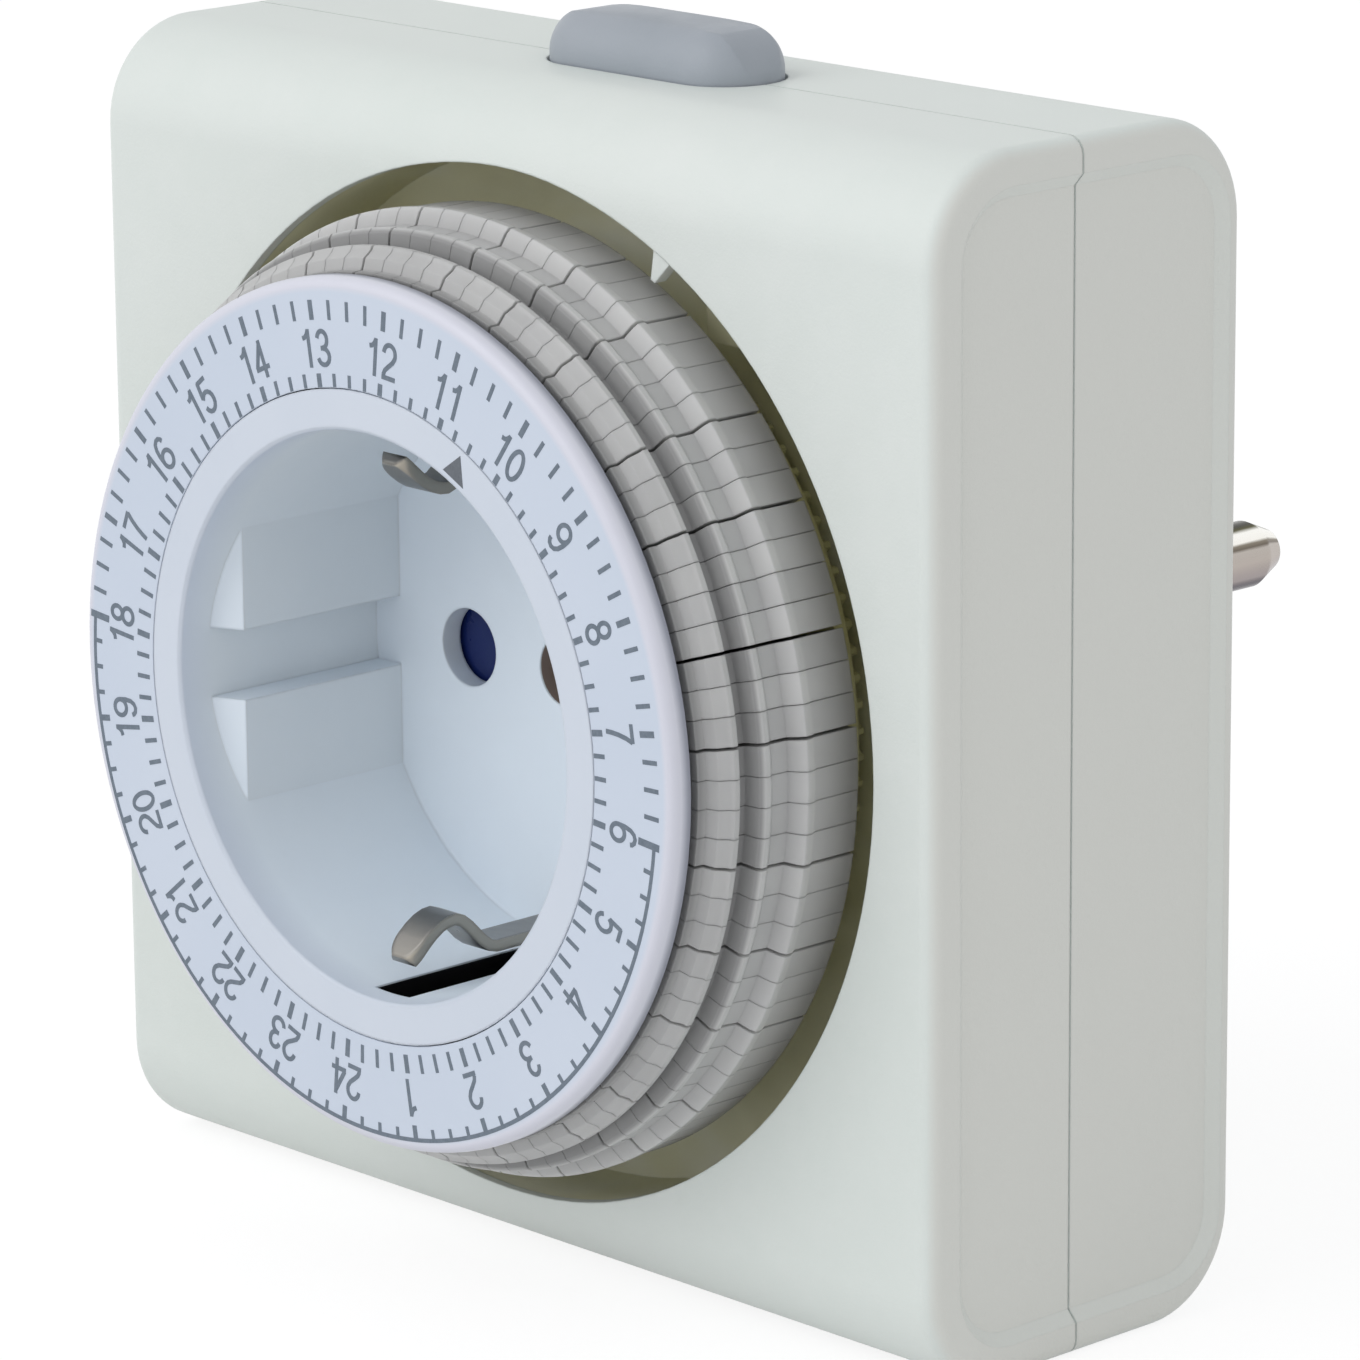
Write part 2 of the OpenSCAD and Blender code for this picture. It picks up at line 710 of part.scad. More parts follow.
module drum_carrier() color("#4a4c44") {
    front = mouth_ring_t + run_gap;
    web = 1;
    inner_t = 1.1;
    core_t = 1;
    rear = plate_front - run_gap;
    behind_dial() rotate_extrude() polygon([
        [drum_bore_r, front], [core_r, front], [core_r, flange_front], [flange_r, flange_front],
        [flange_r, flange_back], [core_r + 0.5, flange_back], [core_r + 0.5, gear_back],
        [core_r - core_t, gear_back], [core_r - core_t, front + web],
        [drum_bore_r + inner_t, front + web], [drum_bore_r + inner_t, rear], [drum_bore_r, rear]]);
    behind_dial(flange_back - 0.3) linear_extrude(gear_t + 0.3) difference() {
        rotate(idler_clock - 90) gear_outline(drum_teeth, drum_module);
        circle(core_r);
    }
}

// Section of a tab: lip, waist, step and ridge, from front to back
function tab_section() = [
    [tab_foot_r, 2.1], [tab_front_r, 2.1], [tab_front_r + 0.05, 2.8],
    [tab_lip_r - 0.7, 3.1], [tab_lip_r - 0.3, 3.7], [tab_lip_r, 3.9], [tab_lip_r, 4.3],
    [tab_waist_r, 4.6], [tab_waist_r, 5.2], [tab_step_r - 0.3, 5.4], [tab_step_r, 5.7],
    [tab_step_r, 6.1], [tab_step_r - 0.2, 6.4], [tab_step_r - 0.1, 7.7],
    [tab_ridge_r - 0.3, 8.1], [tab_ridge_r, 8.4], [tab_ridge_r, 8.9], [tab_rear_r, 9.3],
    [tab_rear_r, tab_back], [tab_foot_r, tab_back]];

// Where a tab leans to, from -1 to 1: groups of three or four lean together
function lean_of(tab) = let (place = tab * 7 / 24) 2 * (place - floor(place)) - 1;

// The four quarter-hour tabs of one hour
module hour_tabs(h) color("#a9a9a6") {
    pitch = 360 / 96;
    gap_angle = tab_gap / tab_ridge_r * 180 / PI;
    lean_angle = tab_lean / tab_ridge_r * 180 / PI;
    hour_clock = dial_angle + (12 - h) * 15;
    for (q = [1 : 4])
        behind_dial() rotate_extrude(angle = pitch - gap_angle,
            start = hour_clock - q * pitch + gap_angle / 2 + lean_angle * lean_of(4 * h + q) - 90)
            polygon(tab_section());
}

// ---- Contacts ----

module terminal_block() color("#d8d8d4") {
    difference() {
        behind_dial(block_front) cylinder(r = block_r, h = block_back - block_front);
        behind_dial(block_front - 1) {
            for (s = [-1, 1])
                translate([s * pin_pitch / 2, 0, 0]) cylinder(r = tube_r + 0.4, h = 40);
            cylinder(r = 1.35, h = 40);
            difference() {
                cylinder(r = 5.2, h = 3.2);
                translate([0, 0, -1]) cylinder(r = 3.5, h = 5);
            }
        }
        for (d = [fixed_front - 0.3, busbar_front - 0.3])
            block_at(strip_x0 - 0.3, strip_x1 + 0.3, d, d + strip_t + 0.6, 0, block_r);
    }
}

module receptacle_tube() {
    behind_dial(tube_front) difference() {
        cylinder(r = tube_r, h = tube_back - tube_front);
        translate([0, 0, -1]) cylinder(r = pin_r + shaft_gap, h = tube_back);
        translate([-0.5, 0, -1]) cube([1, 2 * tube_r, tube_back]);
    }
}

module line_receptacle() color("#b8923c") {
    translate([pin_pitch / 2, 0, 0]) receptacle_tube();
    block_at(strip_x0, strip_x1, fixed_front, fixed_front + strip_t, tube_r - 0.7, link_top);
    block_at(strip_x1 - 0.5, plunger_pos[0], fixed_front, fixed_front + strip_t,
        link_top - strip_w, link_top);
}

module neutral_receptacle() color("#b8923c") {
    translate([-pin_pitch / 2, 0, 0]) receptacle_tube();
}

module plug_pin(side) {
    translate([side * pin_pitch / 2, 0, 0]) rotate([-90, 0, 0]) {
        translate([0, 0, pin_root_y]) cylinder(r = pin_r, h = pin_len - pin_tip - pin_root_y);
        translate([0, 0, pin_len - pin_tip]) cylinder(r1 = pin_r, r2 = pin_r - 0.9, h = pin_tip);
        translate([0, 0, -boss_face_t]) cylinder(r = pin_r + pin_shoulder, h = boss_face_t);
        translate([0, 0, -boss_face_t - 2]) cylinder(r = pin_r + 0.9, h = 2);
    }
}

module line_pin() color("#c9c9c4") plug_pin(1);

module neutral_pin() color("#c9c9c4") plug_pin(-1);

module neutral_busbar() color("#b8923c") {
    x = -pin_pitch / 2;
    block_at(x - strip_w / 2, x + strip_w / 2, tube_back, depth_of(pin_root_y),
        -strip_t / 2, strip_t / 2);
}

module line_busbar() color("#b8923c") {
    x = plunger_pos[0];
    arm_z = switch_z0 - 0.7;
    block_at(strip_x0, strip_x1, busbar_front, depth_of(pin_root_y), -strip_t / 2, strip_t / 2);
    block_at(strip_x0, strip_x1, busbar_front, busbar_front + strip_t, -strip_t / 2, arm_z);
    x1 = x + leaf_w / 2;
    block_at(strip_x1 - 0.5, x1, busbar_front, busbar_front + strip_t, arm_z - arm_w, arm_z);
    block_at(x + foot_x, x1, leaf_front, busbar_front + 0.1, arm_z - strip_t, arm_z);
    block_at(x + foot_x, x1, leaf_front - 0.1, leaf_front + leaf_t + 0.1, arm_z - strip_t,
        leaf_foot_z - 0.15);
}

// Strap bent from a strip: a spring clip in the well, a straight run, a contact on the plug
function strap_r(d) =
    d < clip_hump_depth ? earth_r - clip_hump
        + (clip_hump - 0.3) * (1 - cos(90 * (clip_hump_depth - d) / (clip_hump_depth - clip_front)))
    : d < clip_foot_depth ? earth_r - clip_hump
        * (1 + cos(180 * (d - clip_hump_depth) / (clip_foot_depth - clip_hump_depth))) / 2
    : earth_r;
function strap_tail(d) = earth_r + 0.6 * sin(180 * (d - tail_start) / (tail_end - tail_start));
function strap_line() = concat(
    [for (i = [0 : 12]) let (d = clip_front + (clip_foot_depth - clip_front) * i / 12)
        [d, strap_r(d)]],
    [[clip_foot_depth + 0.3, earth_r]],
    [for (i = [0 : 12]) let (d = tail_start + (tail_end - tail_start) * i / 12)
        [d, strap_tail(d)]]);

module earth_strap() {
    line = strap_line();
    n = len(line);
    tangents = [for (i = [0 : n - 1])
        let (v = line[min(i + 1, n - 1)] - line[max(i - 1, 0)]) v / norm(v)];
    normals = [for (t = tangents) [-t[1], t[0]] * earth_t / 2];
    intersection() {
        translate([0, dial_y, 0]) rotate([90, 0, 90]) linear_extrude(earth_w + 1, center = true)
            polygon(concat([for (i = [0 : n - 1]) line[i] + normals[i]],
                [for (i = [n - 1 : -1 : 0]) line[i] - normals[i]]));
        strap_plan();
    }
}

// Width of the strap, with its free end in the well rounded off
module strap_plan() {
    start = dial_y + clip_front - earth_t / 2;
    translate([0, start + earth_w / 2, 0]) linear_extrude(2 * earth_r) {
        circle(earth_w / 2);
        translate([-earth_w / 2, 0]) square([earth_w, 2 * boss_len + body_d + dial_lead]);
    }
}

module earth_strap_top() color("#b5b2a8") earth_strap();

module earth_strap_bottom() color("#b5b2a8") rotate([0, 180, 0]) earth_strap();

// Half ring that joins the two earth straps round the right of the terminal block
module earth_bridge() color("#b5b2a8") {
    band_r = earth_r - earth_t / 2 - 0.05;
    intersection() {
        tube(band_r - strip_t, band_r, bridge_front, bridge_front + bridge_w);
        block_at(-earth_w / 2, earth_r, bridge_front - 1, bridge_front + bridge_w + 1,
            -earth_r, earth_r);
    }
}

// ---- Switch ----

module switch_block() color("#3a3a38") {
    x0 = plunger_pos[0] - chamber_w / 2;
    difference() {
        block_at(switch_x0, switch_x1, plate_back, switch_back, switch_z0, switch_z1);
        block_at(x0, x0 + chamber_w, chamber_front, switch_back + 1,
            switch_z0 + switch_base_t, switch_z1 - 1);
        block_at(plunger_pos[0] - guide_half, plunger_pos[0] + guide_half,
            plate_back - 1, chamber_front + 1, plunger_pos[1] - guide_half,
            plunger_pos[1] + guide_half);
        behind_dial(plate_back - 1) at_xz(plunger_pos) cylinder(r = 3, h = 4);
        block_at(x0, plunger_pos[0] + 0.1, fixed_front - 0.1, fixed_front + strip_t + 0.1,
            switch_z0 - 1, switch_z0 + 3);
        block_at(plunger_pos[0] + foot_x - 0.1, plunger_pos[0] + leaf_w / 2 + 0.1,
            leaf_front - 0.2, leaf_front + leaf_t + 0.2, switch_z0 - 1, switch_z0 + 3);
    }
}

module switch_plunger() color("#e0e0dc") {
    x = plunger_pos[0];
    z = plunger_pos[1];
    h = plunger_w / 2;
    block_at(x - h, x + h, plunger_front, plunger_back - 1, z - h, z + h);
    block_at(x - h, x + h, plunger_back - 2, plunger_back, z - plunger_tip_h / 2,
        z + plunger_tip_h / 2);
}

module plunger_spring() color("#b9bcc0") {
    behind_dial(plate_back + 0.1) at_xz(plunger_pos) coil(2.55, 0.18, 4, 0.62);
}

module contact_leaf() color("#c08a4a") {
    x = plunger_pos[0];
    block_at(x - leaf_w / 2, x + leaf_w / 2, leaf_front, leaf_front + leaf_t,
        leaf_foot_z, leaf_top_z);
    behind_dial(leaf_front + leaf_t - 0.1) at_xz([x, rivet_z])
        cylinder(r = rivet_r, h = rivet_t + 0.1);
}

module fixed_contact() color("#c08a4a") {
    x = plunger_pos[0];
    block_at(x - leaf_w / 2, x + leaf_w / 2, fixed_front, fixed_front + strip_t,
        switch_z0 + switch_base_t, leaf_top_z + 0.5);
    block_at(x - leaf_w / 2, x, fixed_front, fixed_front + strip_t, link_top + 0.1,
        switch_z0 + switch_base_t + 0.5);
    behind_dial(fixed_rivet_front) at_xz([x, rivet_z]) cylinder(r = rivet_r, h = rivet_t + 0.1);
}

// ---- Override button ----

// Block with rounded upright corners and a rounded top edge, standing on z = 0
module pillow(w, d, h, corner, edge) {
    linear_extrude(h - edge) rounded_rect([w, d], corner);
    linear_extrude(h) rounded_rect([w - 2 * edge, d - 2 * edge], corner - edge);
    for (turn = [0, 1]) {
        across = turn == 0 ? w : d;
        along = turn == 0 ? d : w;
        rotate([90, 0, 90 * turn]) linear_extrude(along - 2 * corner, center = true)
            translate([0, h / 2]) rounded_rect([across, h], edge);
    }
    for (sx = [-1, 1], sy = [-1, 1])
        translate([sx * (w / 2 - corner), sy * (d / 2 - corner), 0]) rotate_extrude()
            intersection() {
                translate([0, h / 2]) rounded_rect([2 * corner, h], edge);
                square([corner, h]);
            }
}

// Pillow-shaped cap with a slightly crowned top and well-rounded ends
module button_cap() {
    top_z = body_h / 2 + button_h;
    low_z = body_h / 2 - button_skirt;
    translate([button_x, button_y, low_z]) intersection() {
        pillow(button_w, button_d, top_z - low_z, button_corner_r, button_edge_r);
        rotate([90, 0, 0]) linear_extrude(2 * button_d, center = true) intersection() {
            translate([0, top_z - low_z - button_crown_r]) circle(button_crown_r, $fn = 180);
            translate([0, top_z - low_z - button_w]) rounded_rect(
                [button_w, 2 * button_w], button_end_r);
        }
    }
}

module override_button() color("#9aa0a8") {
    inner_top = body_h / 2 - wall;
    button_cap();
    translate([0, 0, skirt_z]) linear_extrude(inner_top - run_gap - skirt_z) intersection() {
        button_outline(button_lip);
        translate([button_x, button_y]) square([2 * button_w, 2 * button_d], center = true);
    }
    translate([button_x, button_y, skirt_z - stem_len]) cylinder(r = stem_r, h = stem_len + 0.5);
}

module button_spring() color("#b9bcc0") {
    spring_l = skirt_z - shelf_z - 0.2;
    turns = 6;
    wire_r = 0.2;
    translate([button_x, button_y, shelf_z + 0.1])
        coil(2.2, wire_r, turns, (spring_l - 2 * wire_r) / turns);
}

// ---- Motor and gears ----

module motor_can() color("#b9bcc0") {
    behind_dial(motor_front) at_xz(motor_pos) difference() {
        union() {
            cylinder(r = motor_r, h = motor_l - 1);
            translate([0, 0, motor_l - 1]) cylinder(r1 = motor_r, r2 = motor_r - 1, h = 1);
        }
        translate([0, 0, -1]) cylinder(r = arbor_r + shaft_gap, h = 4);
    }
}

module motor_bracket() color("#c9a94e") {
    behind_dial(bracket_front) difference() {
        union() {
            at_xz(motor_pos) cylinder(r = motor_r + 0.8, h = bracket_t);
            for (p = post_places) {
                at_xz(p) cylinder(r = ear_r, h = bracket_t);
                at_xz(p) translate([0, 0, plate_back - bracket_front])
                    cylinder(r = post_r, h = bracket_front - plate_back + 0.2);
                reach = motor_pos - p;
                at_xz(p) rotate(atan2(-reach[1], reach[0]))
                    translate([0, -ear_r, 0]) cube([norm(reach), 2 * ear_r, bracket_t]);
            }
        }
        translate([0, 0, -1]) {
            cylinder(r = block_r + run_gap, h = bracket_t + 2);
            at_xz(motor_pos) cylinder(r = 1.6, h = bracket_t + 2);
            at_xz(idler_pos) cylinder(r = arbor_r + 0.02, h = bracket_t + 2);
        }
        for (p = post_places)
            at_xz(p) translate([0, 0, plate_back - bracket_front - 1])
                cylinder(r = tapped_r, h = bracket_front - plate_back + bracket_t + 2);
    }
}

module bracket_screws() color("#b9bcc0") {
    for (p = post_places) behind_dial(plate_front + 0.2) at_xz(p) {
        cylinder(r = tapped_r - 0.02, h = motor_front - plate_front);
        translate([0, 0, motor_front - plate_front - 0.2]) cylinder(r = 1.6, h = 1);
    }
}

module motor_pinion() color("#d9d4c4") {
    behind_dial(wheel_front) at_xz(motor_pos) {
        rotate(motor_clock + 90 + 180 / pinion_teeth) linear_extrude(wheel_t)
            gear_outline(pinion_teeth, motor_module);
        cylinder(r = arbor_r, h = motor_front - wheel_front + 2);
    }
}

module idler_wheel() color("#d9d4c4") {
    pinion_front = flange_back + run_gap;
    pinion_back = plate_front - run_gap;
    difference() {
        behind_dial() at_xz(idler_pos) {
            translate([0, 0, pinion_front])
                rotate(idler_clock + 90 + 180 / pinion_teeth)
                    linear_extrude(pinion_back - pinion_front) gear_outline(pinion_teeth, drum_module);
            translate([0, 0, pinion_back - 0.2])
                cylinder(r = 2, h = wheel_front - pinion_back + 0.4);
            translate([0, 0, wheel_front]) rotate(motor_clock - 90) linear_extrude(wheel_t)
                gear_outline(wheel_teeth, motor_module);
        }
        behind_dial() at_xz(idler_pos) cylinder(r = arbor_r + shaft_gap, h = 40);
    }
}

module idler_arbor() color("#b9bcc0") {
    start = flange_back + run_gap;
    behind_dial(start) at_xz(idler_pos) cylinder(r = arbor_r, h = motor_front - start);
}

front_housing();
rear_housing();
chassis_plate();
socket_insert();
socket_screw();
time_dial();
drum_carrier();
pin_shutter();
shutter_spring();
terminal_block();
line_receptacle();
neutral_receptacle();
earth_strap_top();
earth_strap_bottom();
earth_bridge();
line_pin();
neutral_pin();
line_busbar();
neutral_busbar();
switch_block();
switch_plunger();
plunger_spring();
contact_leaf();
fixed_contact();
override_button();
button_spring();
motor_can();
motor_bracket();
motor_pinion();
idler_wheel();
idler_arbor();
housing_screws();
bracket_screws();
for (h = HOURS) hour_tabs(h);
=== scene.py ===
"""Looks for the plug-in timer switch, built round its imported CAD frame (Blender 4.5)."""
import json
import math
from functools import partial

import bpy
from mathutils import Matrix, Vector


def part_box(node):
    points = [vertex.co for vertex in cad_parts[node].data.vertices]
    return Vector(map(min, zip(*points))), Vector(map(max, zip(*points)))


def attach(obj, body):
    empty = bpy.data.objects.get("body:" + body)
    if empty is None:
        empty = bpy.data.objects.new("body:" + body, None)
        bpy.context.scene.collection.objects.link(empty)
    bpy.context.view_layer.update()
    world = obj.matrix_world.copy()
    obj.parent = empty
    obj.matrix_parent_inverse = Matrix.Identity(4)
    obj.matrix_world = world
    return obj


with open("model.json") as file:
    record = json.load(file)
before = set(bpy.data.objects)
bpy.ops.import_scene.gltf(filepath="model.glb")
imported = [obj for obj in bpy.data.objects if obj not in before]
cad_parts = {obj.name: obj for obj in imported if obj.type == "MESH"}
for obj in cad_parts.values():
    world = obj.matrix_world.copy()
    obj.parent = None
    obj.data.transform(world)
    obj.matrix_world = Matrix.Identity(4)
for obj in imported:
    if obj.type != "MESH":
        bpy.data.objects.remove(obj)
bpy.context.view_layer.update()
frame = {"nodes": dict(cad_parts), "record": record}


# ---------------------------------------------------------------- sizes and places
# Metres and degrees in the frame's axes. The dial turns about the Y axis, clock angles start at
# the top, and what is called behind is a distance from the dial's face backwards.

DIAL_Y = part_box("time_dial")[0][1]
FLOOR_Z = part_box("front_housing")[0][2]

# The dial at rest, and its quarters of an hour
DIAL_ANGLE = 5.7
QUARTERS = 96
QUARTER_TURN = 360 / QUARTERS
HOUR_TURN = 4 * QUARTER_TURN

# Places where the colour changes within one piece, as pairs of from and to
COLOUR_EDGE = 0.0001
WELL_R, WELL_DEPTH = 0.0190, 0.0175
SCREW_WELL_R = 0.0024
# Strap slots' painted shade: half width and distance behind the face
SLOT_SHADE_HALF, SLOT_SHADE_BEHIND = 0.0017, 0.0015
# The mouth ring turns into the well's painted light over this distance behind the face
WELL_PAINTED_LIGHT_BEHIND = (0.0002, 0.0030)
# Inside this radius the drum is painted near black as shade
DRUM_PAINTED_SHADE_R = (0.0222, 0.0226)
DRUM_TEETH_BEHIND = (0.0126, 0.0128)
DIAL_RIM_R = (0.0280, 0.0284)
# The rim's painted shade darkens over this distance behind the face
DIAL_RIM_PAINTED_SHADE = (0.0007, 0.0013)

# Painted shade and painted highlights along the tabs: distance behind the dial's face and 8-bit
# share
TAB_REACH = 0.0130
# Painted shade just behind the dial, in the waist and towards the back; painted highlights on the
# ridges
TAB_PAINTED_SHADE_AND_HIGHLIGHT = ((0.0023, 188), (0.0029, 238), (0.00425, 244), (0.0044, 194), (0.0055, 188),
              (0.0057, 250), (0.0061, 250), (0.0064, 232), (0.0077, 232), (0.0083, 252),
              (0.0089, 252), (0.0094, 238), (0.0124, 200))

# Shading of the CAD nodes
JOIN_DISTANCE = 0.000001
SHARP_ANGLE = math.radians(28)

# Printing: its height over the face, its depth in it, and what a crossing stroke is raised by
PRINT_RAISE, PRINT_SINK, PRINT_STEP = 0.00002, 0.00001, 0.000002
PRINT_SHIFT = (-0.0003, -0.0005)
FACE_FROM, FACE_TO = 0.02182, 0.02835

# Ticks: radii from and to, and half widths
DAY_TICKS, INNER_TICKS, END_TICKS = (0.02665, 0.02795), (0.0219, 0.02315), (0.0262, 0.0281)
NIGHT_TICK_FROM = 0.0269
HOUR_TICK_HALF, QUARTER_TICK_HALF, END_TICK_HALF = 0.00021, 0.00015, 0.00024

# The arc over the night hours, whose ends are counted in quarters of an hour
NIGHT_START, NIGHT_END = QUARTERS // 4, QUARTERS * 3 // 4
ARC_INNER, ARC_OUTER, ARC_STEPS = 0.0275, 0.02778, 90

# Numerals: radius of their middle and cap height, then two sizes in cap heights
NUMERAL_R, CAP_HEIGHT = 0.0248, 0.00252
DIGIT_STEP, STROKE_HALF = 0.6, 0.062

# Corners of the triangle on the fixed ring: clock angle, radius and sideways place
MARK_CORNERS = ((23.9, 0.01955, 0), (30.1, 0.01955, 0), (26.8, 0.0213, 0))

# The studio: lamps as place, size and share of full white that each gives. The power is what
# gives full white at one metre.
FLOOR_HALF = 4.0
LAMP_AIM = (0, -0.04, 0)
LAMP_POWER = 9.87
LAMPS = {
    "key": ((-0.95, -2.15, 1.75), 2.4, 0.368),
    "low": ((0.35, -1.9, 0.15), 1.2, 0.04),
    "fill": ((1.3, -0.5, 0.5), 0.9, 0.05),
}

# The photograph's viewpoint, worked out from its vanishing lines and known sizes
VIEW_AZIMUTH, VIEW_ELEVATION, VIEW_ROLL = 46.55, 14.38, -0.48
VIEW_TARGET, VIEW_DISTANCE = (0.01846, -0.04703, 0.00401), 0.44874
LENS, SENSOR = 185.54, 36
CLIP = (0.01, 50)


# ---------------------------------------------------------------- colours and nodes

def lin(r, g, b):
    """An 8-bit colour as it shows, turned to linear light."""
    def one(v):
        v /= 255
        return v / 12.92 if v <= 0.04045 else ((v + 0.055) / 1.055) ** 2.4
    return (one(r), one(g), one(b), 1.0)


class Nodes:
    """Small helper round a node tree."""

    def __init__(self, tree):
        self.nodes = tree.nodes
        self.links = tree.links
        self.nodes.clear()

    def node(self, kind, inputs=None, **values):
        """A new node with those properties and inputs. An input of None keeps its default."""
        n = self.nodes.new(kind)
        for key, value in values.items():
            setattr(n, key, value)
        for key, value in (inputs or {}).items():
            if isinstance(value, bpy.types.NodeSocket):
                self.links.new(value, n.inputs[key])
            elif value is not None:
                n.inputs[key].default_value = value
        return n

    def math(self, op, *values):
        """A calculation on one or two values."""
        return self.node("ShaderNodeMath", dict(enumerate(values)), operation=op).outputs[0]


class Surface(Nodes):
    """A new material's node tree, which works in the piece's own coordinates."""

    def __init__(self, name):
        self.material = bpy.data.materials.new(name)
        self.material.use_nodes = True
        super().__init__(self.material.node_tree)
        self.out = self.node("ShaderNodeOutputMaterial")
        self.coord = self.node("ShaderNodeTexCoord").outputs["Object"]

    def noise(self, scale, detail=2.0, rough=0.5, stretch=None, distortion=0.0):
        """Soft noise from 0 to 1, stretched where the scale along an axis is small."""
        source = self.coord
        if stretch:
            source = self.node("ShaderNodeMapping",
                               {"Vector": source, "Scale": stretch}).outputs["Vector"]
        return self.node("ShaderNodeTexNoise",
                         {"Vector": source, "Scale": scale, "Detail": detail,
                          "Roughness": rough, "Distortion": distortion}).outputs["Fac"]

    def ramp(self, fac, stops):
        """A colour ramp with those stops of position and linear colour."""
        n = self.node("ShaderNodeValToRGB", {"Fac": fac})
        e = n.color_ramp.elements
        e[0].position, e[0].color = stops[0]
        e[1].position, e[1].color = stops[-1]
        for position, color in stops[1:-1]:
            e.new(position).color = color
        return n.outputs["Color"]

    def tones(self, fac, dark, light):
        """Two 8-bit colours that run into each other over the middle of a noise."""
        return self.ramp(fac, [(0.3, lin(*dark)), (0.7, lin(*light))])

    def spread(self, fac, low, high, start=0.3, end=0.7):
        """Maps what lies between start and end to low and high, and stops there."""
        return self.node("ShaderNodeMapRange",
                         {"Value": fac, "From Min": start, "From Max": end,
                          "To Min": low, "To Max": high}).outputs["Result"]

    def rise(self, value, start, end):
        """0 up to the start, 1 from the end on."""
        return self.spread(value, 0.0, 1.0, start, end)

    def split(self, vector):
        """A vector's X, Y and Z."""
        return self.node("ShaderNodeSeparateXYZ", {"Vector": vector}).outputs

    def behind(self, start, end):
        """0 up to the first distance behind the dial's face, 1 from the second on."""
        return self.rise(self.split(self.coord)["Y"], DIAL_Y + start, DIAL_Y + end)

    def from_axis(self):
        """Distance from the dial's axis."""
        place = self.split(self.coord)
        return self.math("SQRT", self.math("ADD", self.math("POWER", place["X"], 2.0),
                                           self.math("POWER", place["Z"], 2.0)))

    def facing(self, axis):
        """How far the surface faces along one of the part's axes, from -1 to 1."""
        return self.split(self.node("ShaderNodeNewGeometry").outputs["Normal"])[axis]

    def where(self, *tests):
        """1 where all tests hold, each an operation, a value and its limit, and 0 elsewhere."""
        held = 1.0
        for test in tests:
            held = self.math("MULTIPLY", held, self.math(*test))
        return held

    def mix(self, fac, a, b, blend="MIX"):
        """The second colour laid over the first."""
        return self.node("ShaderNodeMix", {0: fac, 6: a, 7: b},
                         data_type="RGBA", blend_type=blend).outputs[2]

    def bump(self, height, distance, edge=0.0, normal=None, strength=1.0):
        """A bumped normal, over edges rounded by that radius or over another normal."""
        if edge:
            normal = self.node("ShaderNodeBevel", {"Radius": edge}, samples=4).outputs["Normal"]
        return self.node("ShaderNodeBump", {"Strength": strength, "Distance": distance,
                                            "Height": height, "Normal": normal}).outputs["Normal"]

    def shader(self, base, rough, normal=None, **constants):
        """The principled shader that the material shows."""
        inputs = {key.replace("_", " "): value for key, value in constants.items()}
        inputs.update({"Base Color": base, "Roughness": rough, "Normal": normal})
        surface = self.node("ShaderNodeBsdfPrincipled", inputs)
        self.links.new(surface.outputs["BSDF"], self.out.inputs["Surface"])


def plastic(name, dark, light, rough=(0.45, 0.55), grain=5200, depth=0.000012, edge=0.00018):
    """Moulded plastic: slow mottling, a fine moulded grain and worn-round edges."""
    s = Surface(name)
    base = s.tones(s.noise(90, detail=4, rough=0.55), dark, light)
    normal = s.bump(s.noise(grain, rough=0.6), depth, edge)
    s.shader(base, s.spread(s.noise(grain / 9, detail=3), *rough), normal,
             Specular_IOR_Level=0.4)
    return s.material


def metal(name, dark, light, rough=(0.2, 0.34)):
    """Plated metal: fine unevenness in its roughness and slow changes in its brightness."""
    s = Surface(name)
    fine = s.noise(900, detail=4, rough=0.6)
    base = s.ramp(s.noise(260, detail=3, rough=0.55),
                  [(0.32, lin(*dark)), (0.68, lin(*light))])
    s.shader(base, s.spread(fine, *rough), s.bump(fine, 0.000006, edge=0.00012), Metallic=1.0)
    return s.material


# ---------------------------------------------------------------- materials by slot

def housing_material(name):
    """Off-white housing with the fine spark-eroded grain of the mould and a hint of sink marks;
    its ends have a painted shade, a less green and darker tone.
    """
    s = Surface(name)
    slow = s.noise(28, detail=3)
    cloud = s.noise(240, detail=4, rough=0.6)
    tint = s.mix(0.35, s.tones(slow, (222, 229, 224), (227, 232, 228)),
                 s.tones(cloud, (220, 227, 223), (228, 233, 230)))
    # Painted shade: faces that turn to the sides are painted less green and darker, as the light
    # falls on them.
    ends = s.rise(s.math("ABSOLUTE", s.facing("X")), 0.5, 0.9)
    grain = s.bump(s.noise(4300, detail=3, rough=0.65), 0.000022, edge=0.0002)
    s.shader(s.mix(ends, tint, lin(224, 225, 219)), s.spread(cloud, 0.42, 0.55),
             s.bump(slow, 0.0003, normal=grain, strength=0.35), Specular_IOR_Level=0.42)
    return s.material


def chassis_material(name):
    """Olive inside plate and its collar round the drum, with paler patches of painted light spread
    over it at random.
    """
    s = Surface(name)
    # Painted light: paler patches at random, standing in for light that falls into the recess; the
    # same noise sets the roughness.
    painted_light_patch = s.noise(75, rough=0.4, stretch=(1, 0.4, 1.6), distortion=0.6)
    base = s.ramp(painted_light_patch, [(0.36, lin(226, 223, 186)), (0.55, lin(240, 238, 206)),
                          (0.70, lin(248, 248, 232))])
    s.shader(base, s.spread(painted_light_patch, 0.35, 0.6),
             s.bump(s.noise(2600, detail=3), 0.00002, edge=0.00015), Specular_IOR_Level=0.35)
    return s.material


